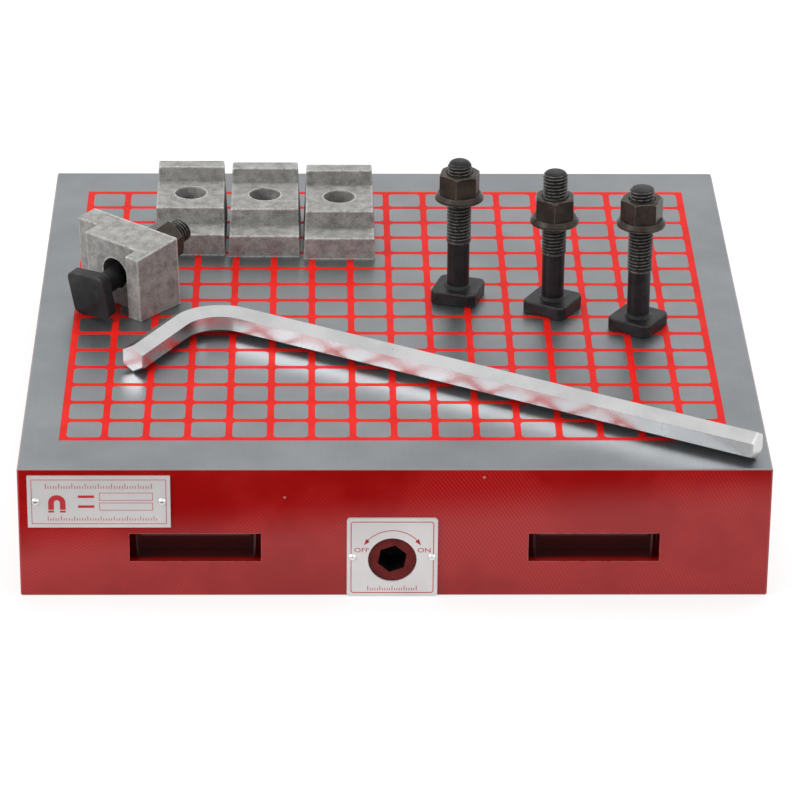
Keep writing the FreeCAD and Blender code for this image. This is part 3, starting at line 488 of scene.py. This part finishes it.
# ---------------------------------------------------------------- mesh helpers
def piece(name, mesh, body, finish=None):
    """Put a finished mesh in the scene on a body, with its finish if one is given."""
    made = bpy.data.objects.new(name, mesh)
    bpy.context.scene.collection.objects.link(made)
    if finish:
        mesh.materials.clear()
        mesh.materials.append(finishes[finish])
    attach(made, body)
    return made


# ---------------------------------------------------------------- screw threads
def make_thread_tree():
    """Geometry nodes: a rod with a helical 60-degree thread and a rounded tip, up from z=0."""
    tree = bpy.data.node_groups.new("cut_thread", "GeometryNodeTree")
    for label, kind, value in (("Length", "NodeSocketFloat", 50 * mm), ("Radius", "NodeSocketFloat", 7 * mm),
                               ("Pitch", "NodeSocketFloat", 2 * mm), ("Depth", "NodeSocketFloat", 1 * mm),
                               ("Tip", "NodeSocketFloat", 2 * mm), ("Sides", "NodeSocketInt", 48),
                               ("Rows", "NodeSocketInt", 200), ("Material", "NodeSocketMaterial", None)):
        socket = tree.interface.new_socket(label, in_out="INPUT", socket_type=kind)
        if value is not None:
            socket.default_value = value
    tree.interface.new_socket("Mesh", in_out="OUTPUT", socket_type="NodeSocketGeometry")
    given = tree.nodes.new("NodeGroupInput").outputs
    result = tree.nodes.new("NodeGroupOutput")
    rod = add(tree, "GeometryNodeMeshCylinder", {
        "Vertices": given["Sides"], "Side Segments": given["Rows"], "Radius": given["Radius"],
        "Depth": given["Length"]}).outputs["Mesh"]
    place = add(tree, "GeometryNodeInputPosition").outputs[0]
    split = add(tree, "ShaderNodeSeparateXYZ", {0: place}).outputs
    half = calc(tree, "MULTIPLY", given["Length"], 0.5)
    height = calc(tree, "ADD", split[2], half)
    turn = calc(tree, "DIVIDE", calc(tree, "ARCTAN2", split[1], split[0]), 2 * math.pi)
    phase = calc(tree, "FRACT", calc(tree, "SUBTRACT", calc(tree, "DIVIDE", height, given["Pitch"]), turn))
    valley = calc(tree, "ABSOLUTE", calc(tree, "MULTIPLY_ADD", phase, 2.0, -1.0))
    valley = calc(tree, "MULTIPLY_ADD", valley, 1.3, -0.2, clamp=True)
    start = calc(tree, "DIVIDE", height, given["Pitch"], clamp=True)
    cut = calc(tree, "MULTIPLY", calc(tree, "MULTIPLY", valley, start), given["Depth"])
    left = calc(tree, "SUBTRACT", given["Length"], height)
    into_tip = calc(tree, "MAXIMUM", calc(tree, "SUBTRACT", given["Tip"], left), 0.0)
    square = calc(tree, "SUBTRACT", calc(tree, "MULTIPLY", given["Tip"], given["Tip"]),
                  calc(tree, "MULTIPLY", into_tip, into_tip))
    rounding = calc(tree, "SUBTRACT", given["Tip"], calc(tree, "SQRT", calc(tree, "MAXIMUM", square, 0.0)))
    radius = calc(tree, "SUBTRACT", given["Radius"], calc(tree, "MAXIMUM", cut, rounding))
    share = calc(tree, "DIVIDE", radius, given["Radius"])
    spot = add(tree, "ShaderNodeCombineXYZ", {
        0: calc(tree, "MULTIPLY", split[0], share), 1: calc(tree, "MULTIPLY", split[1], share), 2: height})
    shaped = add(tree, "GeometryNodeSetPosition", {"Geometry": rod, "Position": spot.outputs[0]})
    smooth = add(tree, "GeometryNodeSetShadeSmooth", {"Geometry": shaped.outputs[0]})
    real = add(tree, "GeometryNodeRealizeInstances", {"Geometry": smooth.outputs[0]})
    painted = add(tree, "GeometryNodeSetMaterial", {
        "Geometry": real.outputs[0], "Material": given["Material"]})
    tree.links.new(painted.outputs[0], result.inputs[0])
    return tree


def grown(tree, values):
    """Run a geometry node tree once and return its plain mesh."""
    host = bpy.data.objects.new("grower", bpy.data.meshes.new("grower"))
    bpy.context.scene.collection.objects.link(host)
    modifier = host.modifiers.new("tree", "NODES")
    modifier.node_group = tree
    for item in tree.interface.items_tree:
        if item.in_out == "INPUT" and item.name in values:
            modifier[item.identifier] = values[item.name]
    shaped = host.evaluated_get(bpy.context.evaluated_depsgraph_get())
    mesh = bpy.data.meshes.new_from_object(shaped)
    host.modifiers.remove(modifier)
    bpy.data.objects.remove(host)
    return mesh


def bolt_axis(name):
    """Direction of a bolt from head to tip, read from the joint its nut runs on."""
    number = name[-1]
    joint = next(j for j in frame["joints"] if j["name"] == "nut_%s_run" % number)
    return Vector(joint["axis"]).normalized()


def thread_bolt(name, tree):
    """Stand-in for a bolt: its solid's head and shank, and a cut thread above them."""
    axis = bolt_axis(name)
    mesh = bmesh.new()
    mesh.from_mesh(nodes[name].data)
    bmesh.ops.remove_doubles(mesh, verts=mesh.verts, dist=merge_distance)
    reach = [vertex.co.dot(axis) for vertex in mesh.verts]
    foot = min(reach)
    tip = max(reach)
    tops = [vertex.co for vertex in mesh.verts if vertex.co.dot(axis) > tip - flat_margin]
    centre = sum(tops, Vector()) / len(tops)
    centre -= axis * (centre.dot(axis) - foot)
    cut = [v for v in mesh.verts if v.co.dot(axis) > foot + thread_start + thread_cut_margin]
    bmesh.ops.delete(mesh, geom=cut, context="VERTS")
    length = tip - foot - thread_start
    rows = round(length / thread_pitch * thread_rows_per_turn)
    thread = grown(tree, {"Length": length, "Radius": thread_radius, "Pitch": thread_pitch,
                          "Depth": thread_depth, "Tip": tip_round[name], "Sides": thread_sides,
                          "Rows": rows, "Material": finishes["bolt_oxide"]})
    turn = Vector((0, 0, 1)).rotation_difference(axis).to_matrix().to_4x4()
    thread.transform(Matrix.Translation(centre + axis * thread_start) @ turn)
    mesh.from_mesh(thread)
    whole = bpy.data.meshes.new(name + "_threaded")
    mesh.to_mesh(whole)
    mesh.free()
    made = piece(name + "_threaded", whole, bolt_bodies[name], "bolt_oxide")
    if "custom_normal" in whole.attributes:
        whole.attributes.remove(whole.attributes["custom_normal"])
    whole.shade_smooth()
    whole.set_sharp_from_angle(angle=crease_angle)
    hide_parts(name)


thread_tree = make_thread_tree()
for bolt in bolt_bodies:
    thread_bolt(bolt, thread_tree)


# ---------------------------------------------------------------- printed plates
class Print:
    """Ink on a plate that faces -Y: shapes drawn in x and z from the plate's centre."""

    def __init__(self, plate):
        low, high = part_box(plate)
        self.centre = (low + high) / 2
        self.face = low.y
        self.width = high.x - low.x
        self.height = high.z - low.z
        self.mesh = bmesh.new()

    def vertex(self, x, z):
        return self.mesh.verts.new((self.centre.x + x, self.face, self.centre.z + z))

    def band(self, outer, inner):
        """Fill between two closed rows of as many points."""
        a = [self.vertex(*p) for p in outer]
        b = [self.vertex(*p) for p in inner]
        count = len(a)
        for i in range(count):
            j = (i + 1) % count
            self.mesh.faces.new((a[i], a[j], b[j], b[i]))

    def stroke(self, points, width):
        """An open line of one width through the points."""
        sides = []
        for i, point in enumerate(points):
            here = Vector(point)
            before = Vector(points[max(i - 1, 0)])
            after = Vector(points[min(i + 1, len(points) - 1)])
            along = (after - before).normalized()
            across = Vector((-along.y, along.x)) * width / 2
            sides.append((self.vertex(*(here + across)), self.vertex(*(here - across))))
        for (a, b), (c, d) in zip(sides, sides[1:]):
            self.mesh.faces.new((a, b, d, c))

    def patch(self, points):
        self.mesh.faces.new([self.vertex(*p) for p in points])

    def frame_line(self, x0, z0, x1, z1, width, radius=0.0):
        """A rectangle's outline, its corners rounded if a radius is given."""
        self.band(rounded_loop(x0, z0, x1, z1, radius), rounded_loop(
            x0 + width, z0 + width, x1 - width, z1 - width, max(radius - width, 0.0)))

    def words(self, text, x, z, height, stretch=1.0):
        """Plain capitals, centred on the place."""
        curve = bpy.data.curves.new("words", "FONT")
        curve.body = text
        curve.align_x = "CENTER"
        curve.align_y = "CENTER"
        curve.size = height / capital_share
        holder = bpy.data.objects.new("words", curve)
        bpy.context.scene.collection.objects.link(holder)
        shaped = holder.evaluated_get(bpy.context.evaluated_depsgraph_get())
        flat = bpy.data.meshes.new_from_object(shaped)
        flat.transform(Matrix(((stretch, 0, 0, self.centre.x + x), (0, 0, 0, self.face),
                               (0, 1, 0, self.centre.z + z), (0, 0, 0, 1))))
        self.mesh.from_mesh(flat)
        bpy.data.objects.remove(holder)

    def finish(self, name):
        """Give the ink its thickness and put it on the chuck."""
        bmesh.ops.remove_doubles(self.mesh, verts=self.mesh.verts, dist=merge_distance)
        faces = list(self.mesh.faces)
        made = bmesh.ops.extrude_face_region(self.mesh, geom=faces)
        lifted = [item for item in made["geom"] if isinstance(item, bmesh.types.BMVert)]
        bmesh.ops.translate(self.mesh, vec=(0, -ink_height, 0), verts=lifted)
        bmesh.ops.recalc_face_normals(self.mesh, faces=self.mesh.faces)
        flat = bpy.data.meshes.new(name)
        self.mesh.to_mesh(flat)
        self.mesh.free()
        piece(name, flat, "chuck", "red_ink")


def rounded_loop(x0, z0, x1, z1, radius, steps=6):
    """Corner points of a rectangle, each corner turned in a few steps."""
    loop = []
    for cx, cz, first in ((x1 - radius, z1 - radius, 0), (x0 + radius, z1 - radius, 90),
                          (x0 + radius, z0 + radius, 180), (x1 - radius, z0 + radius, 270)):
        for step in range(steps + 1):
            turn = math.radians(first + 90 * step / steps)
            loop.append((cx + radius * math.cos(turn), cz + radius * math.sin(turn)))
    return loop


def arc_points(radius, first, last, steps, x=0.0, z=0.0):
    turns = [math.radians(first + (last - first) * i / steps) for i in range(steps + 1)]
    return [(x + radius * math.cos(t), z + radius * math.sin(t)) for t in turns]


def print_rule(ink, x0, x1, z, height, spacing):
    """A scale of plain ticks between two places, every fifth one taller."""
    count = int((x1 - x0) / spacing)
    for i in range(count + 1):
        x = x0 + i * spacing
        tall = height if i % 5 == 0 else height * 0.55
        ink.stroke([(x, z - height / 2), (x, z - height / 2 + tall)], scale_line)


def print_nameplate():
    """Border, two write-in boxes, a horseshoe magnet and plain scales for the wording."""
    ink = Print("nameplate")
    half_w = ink.width / 2
    half_h = ink.height / 2
    inset = plate_inset["nameplate"]
    ink.frame_line(-half_w + inset, -half_h + inset, half_w - inset, half_h - inset, 0.32 * mm)
    for z in (3.1 * mm, -2.8 * mm):
        ink.frame_line(0.2 * mm, z - 2.3 * mm, 28.6 * mm, z + 2.3 * mm, 0.28 * mm)
        ink.stroke([(-11.0 * mm, z), (-2.4 * mm, z)], 1.5 * mm)
    print_rule(ink, -28.0 * mm, 28.0 * mm, 9.3 * mm, 3.0 * mm, scale_spacing)
    print_rule(ink, -27.0 * mm, 31.0 * mm, -9.9 * mm, 2.6 * mm, scale_spacing)
    print_magnet(ink, -22.2 * mm, -0.6 * mm, 4.6 * mm, 3.0 * mm)
    ink.finish("nameplate_print")


def print_magnet(ink, x, z, radius, width):
    """A horseshoe magnet standing on its poles."""
    leg = radius * 0.9
    centre = radius - width / 2
    bow = arc_points(centre, 0, 180, 20, x, z)
    ink.stroke([(x + centre, z - leg)] + bow + [(x - centre, z - leg)], width)
    for side in (-1, 1):
        ink.stroke([(x + side * centre, z - leg - 0.5 * mm), (x + side * centre, z - leg - 1.6 * mm)], width)


def print_dial():
    """Border, OFF and ON, the double arrow over the shaft, and a plain scale below."""
    ink = Print("dial_plate")
    half_w = ink.width / 2
    half_h = ink.height / 2
    inset = plate_inset["dial_plate"]
    ink.frame_line(-half_w + inset, -half_h + inset, half_w - inset, half_h - inset, 0.45 * mm, 1.6 * mm)
    x = shaft_centre.x - ink.centre.x
    z = shaft_centre.z - ink.centre.z
    sweep = 52.0
    radius = 17.6 * mm
    ink.stroke(arc_points(radius, 90 - sweep, 90 + sweep, 36, x, z), 0.42 * mm)
    for side in (-1, 1):
        end = math.radians(90 - side * (sweep - 4))
        tip = math.radians(90 - side * (sweep + 8))
        ink.patch([(x + (radius + 1.3 * mm) * math.cos(end), z + (radius + 1.3 * mm) * math.sin(end)),
                   (x + (radius - 1.3 * mm) * math.cos(end), z + (radius - 1.3 * mm) * math.sin(end)),
                   (x + radius * math.cos(tip), z + radius * math.sin(tip))])
    ink.words("OFF", -16.4 * mm, 4.3 * mm, capital_height, capital_stretch)
    ink.words("ON", 17.0 * mm, 4.2 * mm, capital_height, capital_stretch)
    print_rule(ink, -13.0 * mm, 13.0 * mm, -18.6 * mm, 2.8 * mm, 1.3 * mm)
    ink.finish("dial_print")


print_nameplate()
print_dial()


# ---------------------------------------------------------------- studio
def flat_card(name, width, depth, matrix, material):
    """A flat rectangle for the studio, facing up before it is turned."""
    mesh = bpy.data.meshes.new(name)
    a = width / 2
    b = depth / 2
    mesh.from_pydata([(-a, -b, 0), (a, -b, 0), (a, b, 0), (-a, b, 0)], [], [(0, 1, 2, 3)])
    mesh.transform(matrix)
    mesh.materials.append(material)
    card = bpy.data.objects.new(name, mesh)
    bpy.context.scene.collection.objects.link(card)
    return card


def seen_directly(tree):
    """1 for rays from the camera and for mirror and glass rays, 0 for light."""
    path = add(tree, "ShaderNodeLightPath").outputs
    seen = calc(tree, "MAXIMUM", path["Is Camera Ray"], path["Is Glossy Ray"])
    return calc(tree, "MAXIMUM", seen, path["Is Transmission Ray"])


def make_floor():
    """A white floor that stays white where it is seen and keeps the chuck's shadow."""
    material = bpy.data.materials.new("white_floor")
    material.use_nodes = True
    tree = material.node_tree
    tree.nodes.clear()
    lit = add(tree, "ShaderNodeBsdfDiffuse", {"Color": tint(0.30, 0.30, 0.30)})
    glow = add(tree, "ShaderNodeEmission", {"Color": tint(1, 1, 1), "Strength": 0.76})
    seen = add(tree, "ShaderNodeAddShader", {0: lit.outputs[0], 1: glow.outputs[0]})
    plain = add(tree, "ShaderNodeBsdfDiffuse", {"Color": tint(0.75, 0.75, 0.75)})
    mixed = add(tree, "ShaderNodeMixShader", {
        0: seen_directly(tree), 1: plain.outputs[0], 2: seen.outputs[0]})
    output = add(tree, "ShaderNodeOutputMaterial")
    tree.links.new(mixed.outputs[0], output.inputs[0])
    flat_card("floor", 9.0, 9.0, Matrix.Translation((0, 0, -0.05 * mm)), material)


def make_flag():
    """A dark card before the chuck, seen only in gloss: it keeps the paint's upper half deep."""
    material = bpy.data.materials.new("dark_flag")
    material.use_nodes = True
    tree = material.node_tree
    tree.nodes.clear()
    place = add(tree, "ShaderNodeTexCoord").outputs["Object"]
    split = add(tree, "ShaderNodeSeparateXYZ", {0: place}).outputs
    edge = calc(tree, "MULTIPLY_ADD", split[0], -0.16, chuck_front - 0.085)
    gone = calc(tree, "SUBTRACT", edge, split[1])
    dark = step_up(tree, gone, -0.02, 0.035)
    clear = add(tree, "ShaderNodeBsdfTransparent")
    black = add(tree, "ShaderNodeEmission", {"Color": tint(0.02, 0.02, 0.02), "Strength": 1.0})
    mixed = add(tree, "ShaderNodeMixShader", {0: dark, 1: clear.outputs[0], 2: black.outputs[0]})
    output = add(tree, "ShaderNodeOutputMaterial")
    tree.links.new(mixed.outputs[0], output.inputs[0])
    depth = 1.2
    middle = chuck_front - 0.01 - depth / 2
    card = flat_card("dark_flag", 1.6, depth, Matrix.Translation((0, middle, 1 * mm)), material)
    card.visible_camera = False
    card.visible_diffuse = False
    card.visible_shadow = False
    card.visible_transmission = False


def make_world():
    """White where it is seen, a softer grey light everywhere else."""
    world = bpy.data.worlds.new("studio")
    world.use_nodes = True
    tree = world.node_tree
    tree.nodes.clear()
    light = add(tree, "ShaderNodeBackground", {"Color": tint(1, 1, 1), "Strength": 0.42})
    white = add(tree, "ShaderNodeBackground", {"Color": tint(1, 1, 1), "Strength": 1.0})
    mixed = add(tree, "ShaderNodeMixShader", {
        0: seen_directly(tree), 1: light.outputs[0], 2: white.outputs[0]})
    output = add(tree, "ShaderNodeOutputWorld")
    tree.links.new(mixed.outputs[0], output.inputs[0])
    bpy.context.scene.world = world


def soft_lamp(name, place, target, size, watts, mirrored=True):
    """A square softbox aimed at a point; it can be kept out of mirror reflections."""
    lamp = bpy.data.lights.new(name, "AREA")
    lamp.shape = "SQUARE"
    lamp.size = size
    lamp.energy = watts
    holder = bpy.data.objects.new(name, lamp)
    aim = (Vector(target) - Vector(place)).to_track_quat("-Z", "Y")
    holder.matrix_world = Matrix.Translation(place) @ aim.to_matrix().to_4x4()
    holder.visible_glossy = mirrored
    bpy.context.scene.collection.objects.link(holder)


def make_camera():
    """Stands in front of the chuck and looks down at it, with a long lens."""
    right = Vector((math.cos(camera_yaw), -math.sin(camera_yaw), 0))
    ahead = Vector((math.sin(camera_yaw) * math.cos(camera_pitch),
                    math.cos(camera_yaw) * math.cos(camera_pitch), -math.sin(camera_pitch)))
    up = right.cross(ahead)
    roll = Matrix.Rotation(-camera_roll, 3, ahead)
    right = roll @ right
    up = roll @ up
    data = bpy.data.cameras.new("camera")
    data.lens = lens_mm
    data.sensor_width = sensor_mm
    camera = bpy.data.objects.new("camera", data)
    turn = Matrix((right, up, -ahead)).transposed().to_4x4()
    camera.matrix_world = Matrix.Translation(camera_place) @ turn
    bpy.context.scene.collection.objects.link(camera)
    bpy.context.scene.camera = camera


make_floor()
make_flag()
make_world()
soft_lamp("top_light", (0.2, 0.5, 1.7), (0, 0, 0.05), 1.2, 20.0, mirrored=False)
soft_lamp("left_light", (-1.6, -0.9, 1.1), (0, 0, 0.05), 0.9, 19.0)
soft_lamp("right_light", (1.5, -1.1, 0.9), (0, 0, 0.05), 0.9, 5.0)
make_camera()
bpy.context.scene.view_settings.view_transform = "Standard"
